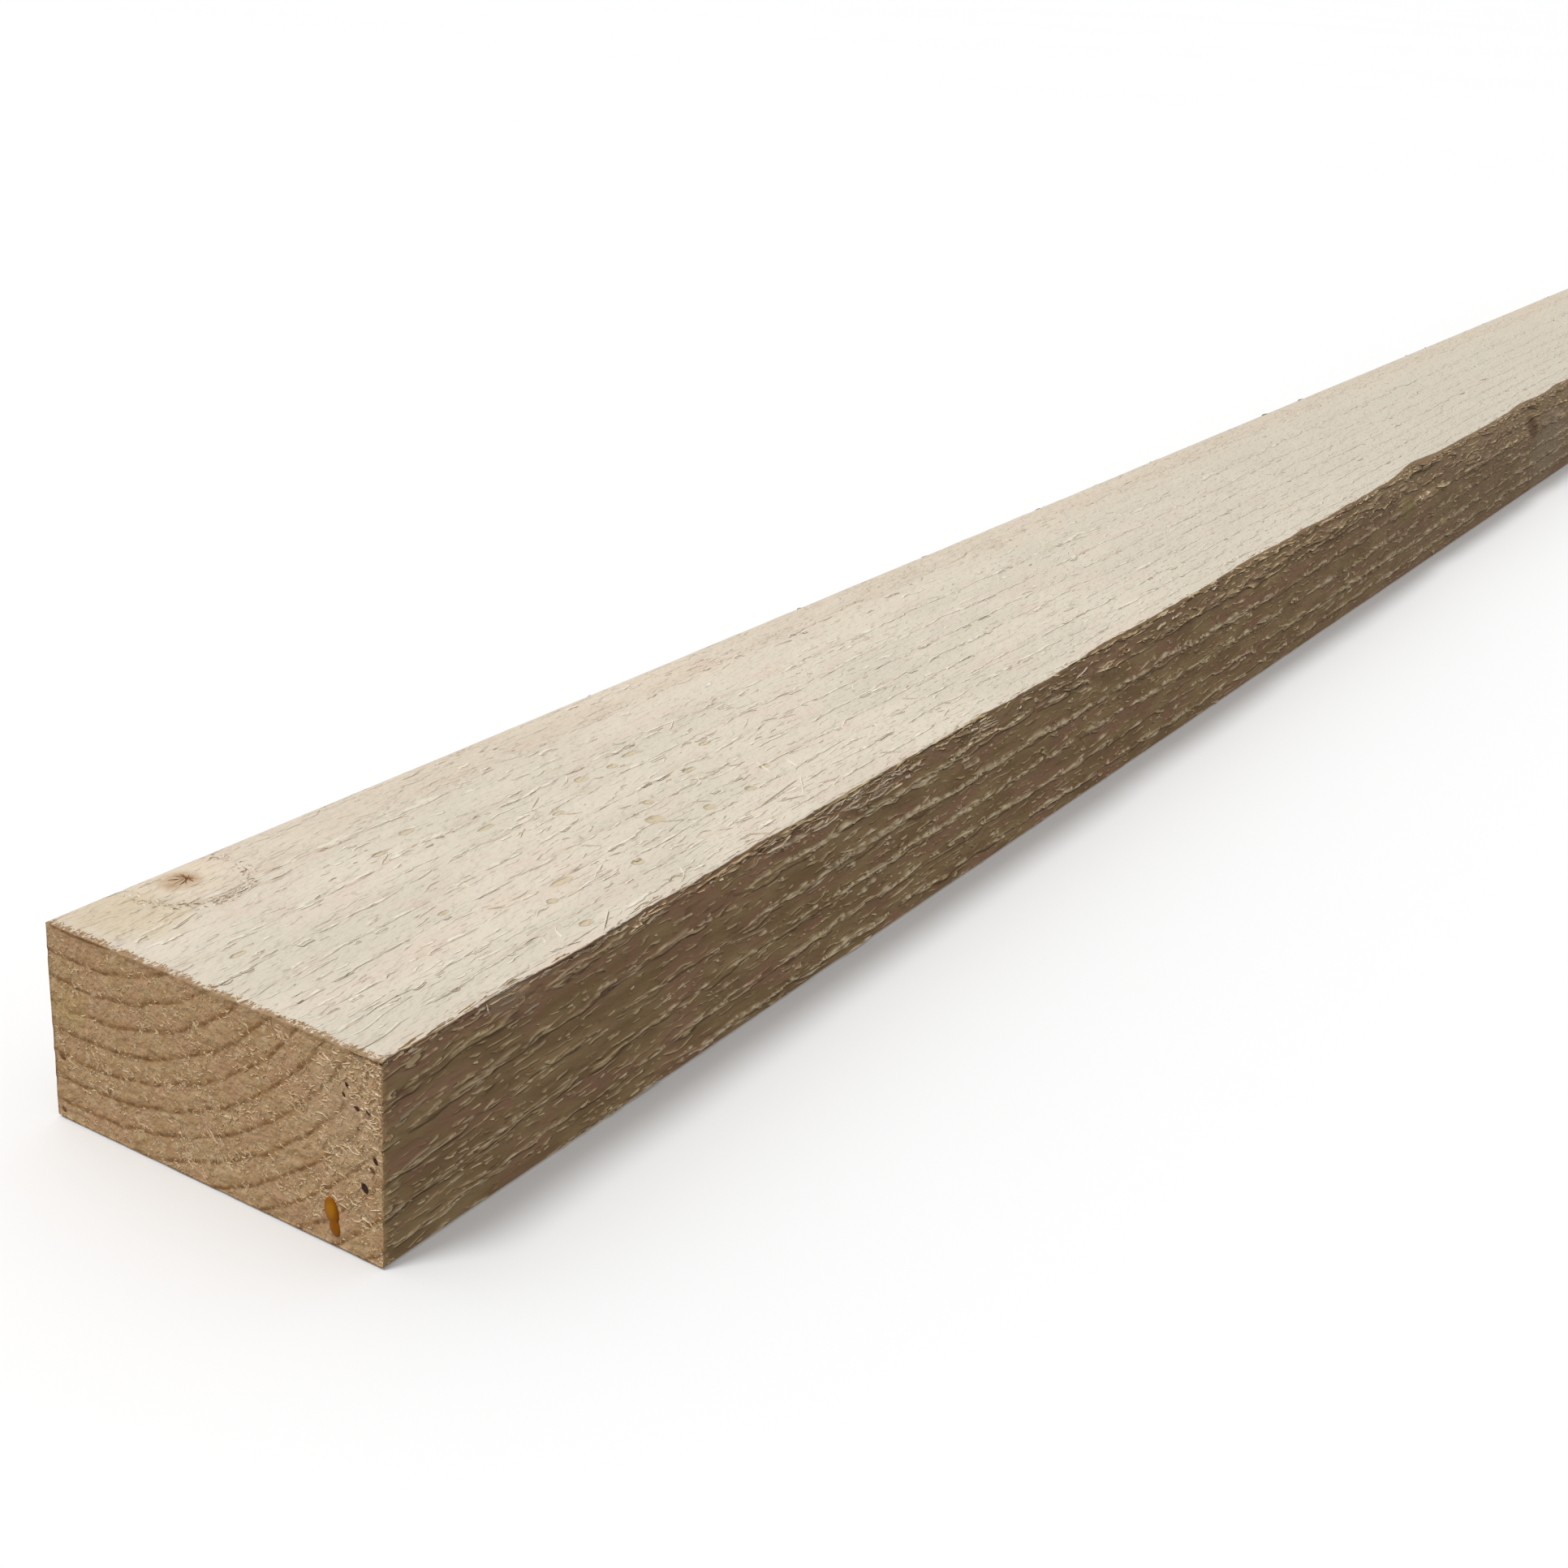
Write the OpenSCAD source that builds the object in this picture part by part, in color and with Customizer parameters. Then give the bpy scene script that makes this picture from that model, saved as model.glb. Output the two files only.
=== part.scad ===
// Rough-sawn softwood plank, lying on its wide face.
// +X runs along the plank, +Y across it and +Z up, with the origin at the middle of the lower face.
// The wane is the wood missing where the top face meets the front edge. It widens towards the far end.

/* [Plank] */
// Length from the near end to the far end
length = 1800; // [900:300:3600]
// Width of the two wide faces
width = 100; // [60:5:250]
// Thickness between the two wide faces
thickness = 50; // [36:1:100]
// Radius that handling leaves on the three straight arrises
arris_r = 1; // [0.4:0.1:4]

/* [Wane] */
// Reach of the wane onto the top face at the near end
wane_near = 0; // [0:0.1:6]
// Reach of the wane onto the top face at the far end
wane_far = 10; // [0.5:0.1:14]
// Most that the wane's edge waves in and out along the plank
wane_swing = 0.5; // [0:0.1:2]
// Distance between the long waves of the wane's edge
wane_pitch = 310; // [120:5:600]
// Length of the straight stretches that the wane's edge is made of
wane_stretch = 6; // [5:1:30]

/* [Chips] */
// Share of its full reach that each chip in the wane's edge is torn out to
chip_share = 1; // [0:0.05:1.5]

/* [Hidden] */
$fn = 48;

// Steepness of the flat cuts that follow the round of the wane, from the top face downwards
wane_facets = [57, 68, 79];
// Waves of the wane's edge: share of the swing, pitch as a share of the long one, start angle
waves = [[0.55, 1, 270], [0.3, 0.41, 95], [0.15, 0.2, 230]];
// Chips and knots torn out of the wane's edge: distance from the near end, half length, reach
chips = [
    [3, 5, 0.8],
    [40, 11, 1],
    [91, 7, 0.6],
    [140, 9, 0.6],
    [195, 24, 0.5],
    [260, 8, 1],
    [355, 20, 1.2],
    [488, 26, 0.9],
    [551, 9, 1.1],
    [704, 27, 3.4],
    [889, 20, 2],
    [966, 16, 1.2],
    [1085, 30, 1.5],
    [1230, 14, 2.2],
    [1395, 34, 1.3],
    [1560, 18, 2.8],
    [1690, 24, 1.6]
];

function total(list) = list * [for (value = list) 1];
function wave(s) = total([for (w = waves) w[0] * sin(360 * s / (w[1] * wane_pitch) + w[2])]);
function chip(s) = total([for (c = chips) c[2] * exp(-pow((s - c[0]) / c[1], 2))]);

// Mean reach of the wane at a distance from the near end: it grows fast at first, and is level at the far end
function mean_reach(s) = wane_far - (wane_far - wane_near) * pow(1 - s / length, 2);

// Reach of the wane onto the top face, never less than half the radius of a straight arris
function reach(s) = max(arris_r / 2, mean_reach(s) + wane_swing * wave(s) + chip_share * chip(s));

// Depth under the square corner of a flat cut that touches a rounded corner of radius 1
function unit_depth(angle) = cos(angle) + sin(angle) - 1;

// Radius of the round on which the first flat cut gives the wane that reach
function round_radius(s) = reach(s) * sin(wane_facets[0]) / unit_depth(wane_facets[0]);

// Distances from the near end between which the wane's edge is straight, from just outside each end
stretches = ceil(length / wane_stretch);
along = [for (i = [-1:stretches + 1]) length * i / stretches];
// How far the waste stands out past the plank's square corner
waste_size = 2 * max([for (s = along) round_radius(s)]);

// The waste outside one corner's round, with the corner at the origin and the wood in +X +Y
module corner_waste() {
    difference() {
        translate([-arris_r, -arris_r]) square(2 * arris_r);
        translate([arris_r, arris_r]) circle(arris_r);
    }
}

// Section across the plank: three eased corners, and the front top corner left square for the wane
module section() {
    difference() {
        translate([-width / 2, 0]) square([width, thickness]);
        translate([-width / 2, 0]) corner_waste();
        translate([width / 2, 0]) rotate(90) corner_waste();
        translate([width / 2, thickness]) rotate(180) corner_waste();
    }
}

// The waste that one flat cut takes off the front top corner, from end to end
module wane_waste(angle) {
    edge = [for (s = along) [s, -round_radius(s) * unit_depth(angle)]];
    outside = [[along[len(along) - 1], waste_size], [along[0], waste_size]];
    translate([-length / 2, -width / 2, thickness])
        rotate([90 + angle, 0, 0])
            linear_extrude(2 * waste_size, center = true)
                polygon(concat(edge, outside));
}

module plank() {
    color("burlywood")
        difference() {
            rotate([90, 0, 90]) linear_extrude(length, center = true) section();
            for (angle = wane_facets) wane_waste(angle);
        }
}

plank();
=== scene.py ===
"""A rough-sawn softwood plank: grain, torn fibres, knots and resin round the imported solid, and a studio."""

from collections import namedtuple
from math import radians

import bpy
import numpy as np
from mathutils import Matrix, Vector


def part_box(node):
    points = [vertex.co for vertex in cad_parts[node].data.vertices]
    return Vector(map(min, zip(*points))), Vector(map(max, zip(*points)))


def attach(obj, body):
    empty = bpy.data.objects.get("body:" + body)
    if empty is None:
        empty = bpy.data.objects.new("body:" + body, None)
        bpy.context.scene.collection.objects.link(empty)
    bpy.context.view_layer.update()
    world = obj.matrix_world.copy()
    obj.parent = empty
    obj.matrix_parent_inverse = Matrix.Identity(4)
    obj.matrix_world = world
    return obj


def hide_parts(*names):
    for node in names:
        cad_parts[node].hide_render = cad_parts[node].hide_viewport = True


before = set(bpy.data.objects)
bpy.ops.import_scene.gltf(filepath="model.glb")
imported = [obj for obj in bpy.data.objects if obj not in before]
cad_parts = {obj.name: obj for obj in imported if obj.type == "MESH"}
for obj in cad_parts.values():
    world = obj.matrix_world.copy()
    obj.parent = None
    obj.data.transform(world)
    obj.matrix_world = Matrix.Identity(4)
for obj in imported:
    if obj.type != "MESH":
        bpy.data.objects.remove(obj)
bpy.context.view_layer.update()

# Lengths are millimetres in the part's own frame. Only the studio round it is in Blender's metres.
MM = 0.001
low, high = (np.array(corner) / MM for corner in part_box("plank"))
LENGTH, WIDTH, THICK = high - low
NEAR, FRONT, BASE = low
FAR, BACK, TOP = high
ALONG = np.array((1.0, 0.0, 0.0))

# How far the wood's surface lies inside the solid, so that the fibres that stand on it stay inside too
INSET = 0.5
# The least distance between a sliver and the outside of the solid's box
MARGIN = 0.02
# Radius of the straight arrises, and length and depth of the ease at a sawn end
ARRIS = 1.0
END_EASE, END_DEPTH = 0.3, 0.1
# Distances below the top between which a sawn end grows rough
FUZZ_RUN = 0.6, 2.6

# The tree's pith: its place at the near end, and how it drifts and sways along the plank
PITH_Y, PITH_Z = BACK - 11, TOP + 50
PITH_DRIFT, PITH_RUN = 10.5, 170.0
PITH_SWAY, PITH_WAVE = 0.8, 110.0
# Growth rings: a radius, the ring there, rings to a millimetre there, and how they tighten outwards
RING_RADIUS, RING_FIRST, RING_RATE, RING_TIGHTEN = 57.5, 0.868, 0.1547, 0.00016

# A long face: corner where it starts, way across it and outward way, as (y, z), then its breadth, the
# distance round the section at which it starts, and the depth of the steps torn along its growth rings
Face = namedtuple("Face", "corner across out breadth start ledge")
FACES = {
    "top": Face((BACK, TOP), (-1, 0), (0, 1), WIDTH, 0, 0.2),
    "front": Face((FRONT, TOP), (0, -1), (-1, 0), THICK, WIDTH, 0.3),
    "bottom": Face((FRONT, BASE), (1, 0), (0, -1), WIDTH, WIDTH + THICK, 0.2),
    "back": Face((BACK, BASE), (0, 1), (1, 0), THICK, 2 * WIDTH + THICK, 0.25),
}

# The knot in the top face: distance from the near end and from the back arris, and its torn ring's radius
KNOT_S, KNOT_U = 35.5, 6.8
KNOT_RING = 14.5
# Directions of the splits in its heart, in degrees
KNOT_SPLITS = 40, 62, 128, 150, 95
# Oval pits torn out of the top face: distance from the near end and from the back arris, length, breadth
PITS = [
    (16, 44, 4.4, 1.4), (75, 31, 4.8, 1.6), (89, 27, 5.0, 1.9), (104, 40, 6.0, 1.4), (145, 38.5, 5.0, 2.6),
    (158, 39, 4.0, 2.0), (169, 37, 7.0, 1.7), (189, 48, 4.8, 1.6), (170, 56, 5.6, 1.6), (144, 61, 3.0, 2.2),
    (136, 69, 5.4, 3.6), (152, 75, 4.0, 2.4), (170, 76, 3.6, 2.6), (91, 74, 8.0, 1.9), (81, 79, 3.2, 2.0),
    (112, 81, 3.6, 2.4), (77, 92, 4.4, 2.0), (123, 48, 4.0, 1.4), (186, 70, 4.0, 1.6), (60, 64, 3.6, 1.2),
]
# Loose splinters on the top face: distance from the near end and from the back arris, length, turn in degrees
SPLINTERS = [
    (181, 85, 14, -36), (172, 83.6, 26, -7), (107, 49, 7, -29), (185, 70, 8, -63), (81, 94.5, 12, -31),
    (124, 39.5, 9, -25), (146, 94.5, 8, 42),
]
# Small dark streaks in the top face: distance from the near end and from the back arris, length, breadth
STREAKS = [
    (143, 6, 3, 0.7), (147, 7.5, 2.6, 0.8), (141, 11, 2.4, 0.6), (149, 12, 2, 0.5), (420, 35, 4, 1.2),
    (764, 8, 8, 1.2), (692, 70, 9, 1.8), (895, 59, 10, 2.2), (947, 56, 12, 2.6), (1204, 31, 7, 1.4),
    (1490, 64, 8, 1.6),
]
# Knots in the front edge: distance from the near end and from the top, half length, half height, colour
EDGE_KNOTS = [
    (678, 15, 14, 9, (166, 146, 100)), (900, 12, 11, 8, (100, 74, 52)), (1275, 18, 8, 6, (100, 74, 52)),
    (1610, 15, 10, 7, (100, 74, 52)),
]
# Middle of the grey patch beside one of them, and of the pale chip in the wane
EDGE_GREY = 940, FRONT, TOP - 28
EDGE_CHIP = 40, FRONT, TOP - 2.5
# Pale tufts torn up on the front edge: distance from the near end and from the top, length, breadth
TUFTS = [(9, 15.5, 7, 0.5), (12, 14.8, 5, 0.4), (6, 17, 4, 0.4), (48, 8, 6, 0.4), (40, 3.2, 6, 0.4)]
# One hair that stands across the waney arris, given as the tufts are
HAIRS = [(33, 1.3, 2.4, 0.3)]
# Clumps of torn fibre along the waney arris: distance of the middle from the near end, half length, fibres
CLUMPS = [(95, 12, 8), (150, 10, 20), (192, 14, 70), (255, 9, 36), (305, 16, 24), (430, 22, 20)]
# Dark pits in the near end, drawn as flat slivers painted with the shade inside them: distance from the back
# edge and from the top, breadth, tone
END_PITS = [
    (89.6, 9.3, 0.9, 0.1), (88.8, 11.8, 0.8, 0.2), (92.3, 13.9, 1.0, 0.2), (95.4, 13.7, 0.8, 0.2),
    (92.6, 18.4, 0.6, 0.6), (97.4, 24.4, 1.3, 0.0), (96.4, 27.0, 1.1, 0.6), (94.3, 32.0, 1.8, 0.0),
    (3.2, 33.6, 1.2, 0.8), (2.5, 47.5, 1.0, 0.9),
]
# Middle of the tears in a sawn end, measured in the same way, and their spread
TEARS_AT, TEARS_SPREAD = (46, 40), 5
# Breadth and depth of the patch of curled hairs in a sawn end, from the front edge and from the top
CURLS = 17, 40
# The run of resin on the near end: its top and its foot, as distances from the back edge and from the top
RESIN_TOP, RESIN_FOOT = (84.2, 38.2), (86.3, 46.9)
# Its drops: how far down the run their middles lie, half length as a share of the run, half breadth
RESIN_DROPS = [(0.34, 0.35, 1.9), (0.77, 0.24, 1.5)]

# How close together the fibres lie falls to half at this distance from the near end
THIN_OUT = 250.0
# Distances from the near end between which the narrow edges grow rougher
CALM_RUN = 40, 220
# Distances between which the marks grow larger and fainter
BLUR_RUN = 350, 800


def noise(u, v, seed):
    """Smooth noise from 0 to 1, one wave to each unit of u and of v."""
    cells = 256
    table = np.random.default_rng(seed).random((cells, cells))
    low_u, low_v = np.floor(u).astype(int), np.floor(v).astype(int)
    part_u, part_v = u - low_u, v - low_v
    part_u, part_v = (part * part * (3 - 2 * part) for part in (part_u, part_v))
    at = [[table[(low_u + i) % cells, (low_v + j) % cells] for j in (0, 1)] for i in (0, 1)]
    near = at[0][0] + (at[0][1] - at[0][0]) * part_v
    far = at[1][0] + (at[1][1] - at[1][0]) * part_v
    return near + (far - near) * part_u


def ease(value, start, stop):
    """0 before start, 1 after stop, and smooth between."""
    part = np.clip((value - start) / (stop - start), 0, 1)
    return part * part * (3 - 2 * part)


def between(limits, part):
    """A value part of the way from one limit to the other."""
    return limits[0] + (limits[1] - limits[0]) * part


def pith_side(s):
    """Where the pith lies across the plank, at a distance from the near end."""
    return PITH_Y + PITH_DRIFT * (1 - np.exp(-s / PITH_RUN)) + PITH_SWAY * np.sin(s / PITH_WAVE)


def ring_number(s, y, z):
    """How many growth rings lie inside a place. Its whole numbers are the dark lines of latewood."""
    out = np.hypot(y - pith_side(s), z - PITH_Z) - RING_RADIUS
    return RING_FIRST + RING_RATE * out + RING_TIGHTEN * out * out


def read_wane():
    """The wane's edges in the solid, on the top and on the front: distance from the near end, and reach."""
    touch = 0.01
    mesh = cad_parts["plank"].data
    points = np.empty(3 * len(mesh.vertices))
    mesh.vertices.foreach_get("co", points)
    points = points.reshape(-1, 3) / MM
    x, y, z = points[np.argsort(points[:, 0])].T
    on_top = (z > TOP - touch) & (y < 0)
    on_front = (y < FRONT + touch) & (z > TOP / 4)
    return (x[on_top] - NEAR, y[on_top] - FRONT), (x[on_front] - NEAR, TOP - z[on_front])


WANE_REACH, WANE_DEPTH = read_wane()
# Jags of torn wood along the wane's edges: size, pitch and seed, and how much larger they are on the front
JAGS = [(0.5, 3.5, 71), (0.4, 1.3, 72)]
JAGS_DOWN = 1.5
# The least reach of the wane
WANE_LEAST = 0.3
# How far the round of the wane is pulled in and down, as shares of its reach and depth
PULL_IN, PULL_DOWN = 0.12, 0.68


def wane(s):
    """The wane's reach onto the top face and its depth down the front edge, with the jags of torn wood."""
    jag = sum(size * (noise(s / pitch, 0 * s, seed) - 0.5) for size, pitch, seed in JAGS)
    reach = np.maximum(np.interp(s, *WANE_REACH) + jag, WANE_LEAST)
    return reach, np.interp(s, *WANE_DEPTH) + JAGS_DOWN * jag


def wane_round(part):
    """Shares of the wane's reach and depth at a part of the way round it, and how fast they change there."""
    bulge, rate = 2 * part * (1 - part), 2 - 4 * part
    share_in, share_down = (1 - part) ** 2 + PULL_IN * bulge, part**2 + PULL_DOWN * bulge
    return share_in, share_down, PULL_IN * rate - 2 * (1 - part), PULL_DOWN * rate + 2 * part


def shake(s, around):
    """How far the growth rings' lines stray from true circles, in rings."""
    return 0.25 * (noise(s / 12, around / 5, 15) - 0.5)


def relief(s, y, z, around, ledge):
    """How deep the torn surface lies at a place: steps along the growth rings, furrows along the grain."""
    phase = (ring_number(s, y, z) + shake(s, around)) % 1
    patch = 0.1 + 0.9 * ease(noise(s / 16, around / 6, 11), 0.3, 0.7)
    step = ledge * patch * (1 - phase**1.6) * ease(1 - phase, 0, 0.06)
    return step + 0.15 * ledge * noise(s / 12, around / 2.5, 12) + 0.05 * noise(s / 4, around / 2, 13)


def pit_depth(s, u):
    """Extra depth of the top face inside its oval pits and in the torn ring round its knot."""
    from_knot = np.hypot(s - KNOT_S, u - KNOT_U) / KNOT_RING
    depth = 0.2 * np.exp(-(((from_knot - 1) / 0.1) ** 2)) * noise(s / 2, u / 2, 14)
    for pit_s, pit_u, length, breadth in PITS:
        depth += 0.15 * np.exp(-((1.6 * (s - pit_s) / length) ** 2) - (1.6 * (u - pit_u) / breadth) ** 2)
    return depth


def surface(face, s, u):
    """Points on a long face, and the outward and the crosswise way there. u runs across it from its start."""
    (corner_y, corner_z), (across_y, across_z), (out_y, out_z), _, start, ledge = FACES[face]
    y, z = corner_y + across_y * u, corner_z + across_z * u
    outward = np.zeros((len(s), 3)) + (0, out_y, out_z)
    if face == "front":
        reach, depth = wane(s)
        on_wane = u < depth
        down = np.clip(u / depth, 0, 1)
        part = (PULL_DOWN - np.sqrt(PULL_DOWN**2 - (2 * PULL_DOWN - 1) * down)) / (2 * PULL_DOWN - 1)
        share_in, _, rate_in, rate_down = wane_round(part)
        y = y + np.where(on_wane, reach * share_in, 0)
        slope = np.stack([0 * s, -depth * rate_down, -reach * rate_in], 1)
        slope /= np.linalg.norm(slope, axis=1)[:, None]
        outward = np.where(on_wane[:, None], slope, outward)
    sunk = INSET + relief(s, y, z, start + u, ledge)
    if face == "top":
        sunk = sunk + pit_depth(s, u)
    points = np.stack([NEAR + s, y, z], 1) - outward * sunk[:, None]
    return points, outward, np.cross(ALONG, outward)


def mesh_piece(name, points, faces, materials, slots=None, values=None, map_uv=None, smooth=True):
    """A closed mesh that rides on the plank's one body, from points in millimetres."""
    mesh = bpy.data.meshes.new(name)
    mesh.from_pydata((points * MM).tolist(), [], faces.tolist())
    mesh.polygons.foreach_set("use_smooth", np.full(len(faces), smooth))
    for material in materials:
        mesh.materials.append(material)
    if slots is not None:
        mesh.polygons.foreach_set("material_index", slots)
    for key, value in (values or {}).items():
        mesh.attributes.new(key, "FLOAT", "POINT").data.foreach_set("value", value)
    if map_uv is not None:
        mesh.uv_layers.new(name="OFBake").data.foreach_set("uv", map_uv.ravel())
    mesh.update()
    piece = bpy.data.objects.new(name, mesh)
    bpy.context.scene.collection.objects.link(piece)
    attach(piece, "root")
    return piece


# The plank's own mesh: pieces across a wide face and a narrow one, round a half arris and down half the wane
ACROSS, DOWN, ARC_STEPS, WANE_STEPS = 84, 56, 2, 4
AROUND = 2 * (ACROSS + DOWN)
# Stretches of the plank, from the near end: where each stops, and the distance between its rings of points
STRETCHES = [(200, 1.8), (500, 4.0), (1000, 8.0), (LENGTH, 12.0)]


def stations():
    """Distances from the near end of the rings of points, closer together where the photograph shows more."""
    found = [np.array([INSET, INSET + END_EASE])]
    start = INSET + END_EASE
    for stop, pitch in STRETCHES:
        stop = min(stop, LENGTH - INSET - END_EASE)
        found.append(np.linspace(start, stop, round((stop - start) / pitch) + 1)[1:])
        start = stop
    return np.append(np.concatenate(found), LENGTH - INSET)


def outline(s):
    """The section's outline at each station, as y and z, and whether each step of it is on a wide face."""
    reach, depth = wane(s)
    rows_y, rows_z, wide = [], [], []

    def add(y, z, on_wide):
        rows_y.append(np.broadcast_to(y, (len(s), y.shape[-1]))[:, :-1])
        rows_z.append(np.broadcast_to(z, (len(s), z.shape[-1]))[:, :-1])
        wide.extend([on_wide] * (y.shape[-1] - 1))

    def arc(y, z, start, on_wide):
        angle = np.radians(np.linspace(start, start + 45, ARC_STEPS + 1))
        add((y + ARRIS * np.cos(angle))[None], (z + ARRIS * np.sin(angle))[None], on_wide)

    def line(start, stop, steps, on_wide):
        part = np.linspace(0, 1, steps + 1)
        ends = [[np.reshape(v, (-1, 1)) + 0 * s[:, None] for v in end] for end in (start, stop)]
        (y0, z0), (y1, z1) = ends
        add(y0 + (y1 - y0) * part, z0 + (z1 - z0) * part, on_wide)

    def wane_half(start, stop):
        share_in, share_down, _, _ = wane_round(np.linspace(start, stop, WANE_STEPS + 1))
        add(FRONT + reach[:, None] * share_in, TOP - depth[:, None] * share_down, False)

    arc(BACK - ARRIS, TOP - ARRIS, 45, True)
    line((BACK - ARRIS, TOP), (FRONT + reach, TOP), ACROSS - ARC_STEPS - WANE_STEPS, True)
    wane_half(0, 0.5)
    wane_half(0.5, 1)
    line((FRONT, TOP - depth), (FRONT, BASE + ARRIS), DOWN - ARC_STEPS - WANE_STEPS, False)
    arc(FRONT + ARRIS, BASE + ARRIS, 180, False)
    arc(FRONT + ARRIS, BASE + ARRIS, 225, True)
    line((FRONT + ARRIS, BASE), (BACK - ARRIS, BASE), ACROSS - 2 * ARC_STEPS, True)
    arc(BACK - ARRIS, BASE + ARRIS, 270, True)
    arc(BACK - ARRIS, BASE + ARRIS, 315, False)
    line((BACK, BASE + ARRIS), (BACK, TOP - ARRIS), DOWN - 2 * ARC_STEPS, False)
    arc(BACK - ARRIS, TOP - ARRIS, 0, False)
    return np.concatenate(rows_y, 1), np.concatenate(rows_z, 1), np.array(wide)


def end_grid(ring, first):
    """Point numbers of a sawn end's grid: its border is a ring of the sides, its inside starts at first."""
    grid = np.empty((ACROSS + 1, DOWN + 1), int)
    grid[1:-1, 1:-1] = first + np.arange((ACROSS - 1) * (DOWN - 1)).reshape(ACROSS - 1, DOWN - 1)
    grid[:, 0] = ring[: ACROSS + 1]
    grid[-1, :] = ring[ACROSS : ACROSS + DOWN + 1]
    grid[::-1, -1] = ring[ACROSS + DOWN : 2 * ACROSS + DOWN + 1]
    grid[0, ::-1] = np.append(ring[2 * ACROSS + DOWN :], ring[0])
    return grid


def end_points(y, z, x, inward, seed):
    """Points inside a sawn end's border, rough with the fuzz of cut fibres."""
    part_across = np.arange(1, ACROSS)[:, None] / ACROSS
    part_down = np.arange(1, DOWN)[None] / DOWN
    top_y, bottom_y = y[1:ACROSS], y[ACROSS + DOWN + 1 : 2 * ACROSS + DOWN][::-1]
    front_z, back_z = z[ACROSS + 1 : ACROSS + DOWN], z[2 * ACROSS + DOWN + 1 :][::-1]
    inner_y = top_y[:, None] * (1 - part_down) + bottom_y[:, None] * part_down
    inner_z = back_z[None] * (1 - part_across) + front_z[None] * part_across
    fuzz = 0.3 * noise(inner_y / 1.6, inner_z / 1.6, seed) + 0.2 * noise(inner_y / 5, inner_z / 5, seed + 1)
    fuzz *= ease(TOP - inner_z, *FUZZ_RUN)
    return np.stack([x + inward * fuzz, inner_y, inner_z], -1).reshape(-1, 3)


def quads(grid):
    """Four-sided faces between neighbouring point numbers of a grid."""
    return np.stack([grid[:-1, :-1], grid[:-1, 1:], grid[1:, 1:], grid[1:, :-1]], -1).reshape(-1, 4)


def plank_map(s):
    """The plank's flat map for baking: two strips of its sides, one above the other, and its ends on top."""
    border, height, gap = 0.001, 0.44, 0.01
    end_at, end_pitch, end_size = (0.01, 0.905), (0.3, 0), (0.18, 0.09)
    count = len(s)
    half = np.searchsorted(s, LENGTH / 2)
    strip = (np.arange(count - 1) >= half).astype(int)
    start = np.where(strip == 0, s[0], s[half])
    run = np.where(strip == 0, s[half] - s[0], s[-1] - s[half])
    along = np.stack([(s[:-1] - start) / run, (s[1:] - start) / run], -1) * (1 - 2 * border) + border
    step = np.arange(AROUND) / AROUND
    steps = np.stack([step, step + 1 / AROUND], -1)[None]
    around = gap / 2 + strip[:, None, None] * (height + gap) + height * steps
    corners = []
    for a, b in ((0, 0), (0, 1), (1, 1), (1, 0)):
        u = np.broadcast_to(along[:, None, a], (count - 1, AROUND))
        corners.append(np.stack([u, around[:, :, b]], -1))
    sides = np.stack(corners, 2).reshape(-1, 2)
    parts = np.meshgrid(np.arange(ACROSS + 1) / ACROSS, np.arange(DOWN + 1) / DOWN, indexing="ij")
    caps = []
    for index, turned in enumerate((False, True)):
        flat = np.array(end_at) + index * np.array(end_pitch) + end_size * np.stack(parts, -1)
        cells = np.stack([flat[:-1, :-1], flat[:-1, 1:], flat[1:, 1:], flat[1:, :-1]], 2)
        caps.append((cells[:, :, ::-1] if turned else cells).reshape(-1, 2))
    return np.concatenate([sides] + caps)


def plank_mesh(materials):
    """The whole plank as one closed mesh of torn, sawn wood."""
    s = stations()
    y, z, wide = outline(s)
    turn_y, turn_z = (np.roll(v, -1, 1) - np.roll(v, 1, 1) for v in (y, z))
    size = np.hypot(turn_y, turn_z)
    out_y, out_z = turn_z / size, -turn_y / size
    steps = list(zip(FACES.values(), (ACROSS, DOWN, ACROSS, DOWN)))
    around = np.concatenate([face.start + face.breadth * np.arange(n) / n for face, n in steps])
    ledge = np.concatenate([np.full(n, face.ledge) for face, n in steps])
    sunk = INSET + relief(s[:, None], y, z, around[None], ledge[None])
    sunk[:, :ACROSS] += pit_depth(s[:, None], BACK - y[:, :ACROSS])
    sunk[[0, -1]] += END_DEPTH
    y, z = y - out_y * sunk, z - out_z * sunk
    x = np.broadcast_to(NEAR + s[:, None], y.shape)
    points = [np.stack([x, y, z], -1).reshape(-1, 3)]
    points.append(end_points(y[0], z[0], NEAR + s[0], 1, 21))
    points.append(end_points(y[-1], z[-1], NEAR + s[-1], -1, 23))

    ring = np.arange(len(s) * AROUND).reshape(len(s), AROUND)
    sides = quads(np.concatenate([ring, ring[:, :1]], 1))
    near_end = quads(end_grid(ring[0], len(points[0])))
    far_end = quads(end_grid(ring[-1], len(points[0]) + len(points[1])))[:, ::-1]
    side_slots = np.tile(np.where(wide, 0, 1), len(s) - 1)
    slots = np.concatenate([side_slots, np.full(len(near_end) + len(far_end), 2)])
    faces = np.concatenate([sides, near_end, far_end])
    piece = mesh_piece("plank_wood", np.concatenate(points), faces, materials, slots, map_uv=plank_map(s))
    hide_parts("plank")


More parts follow.
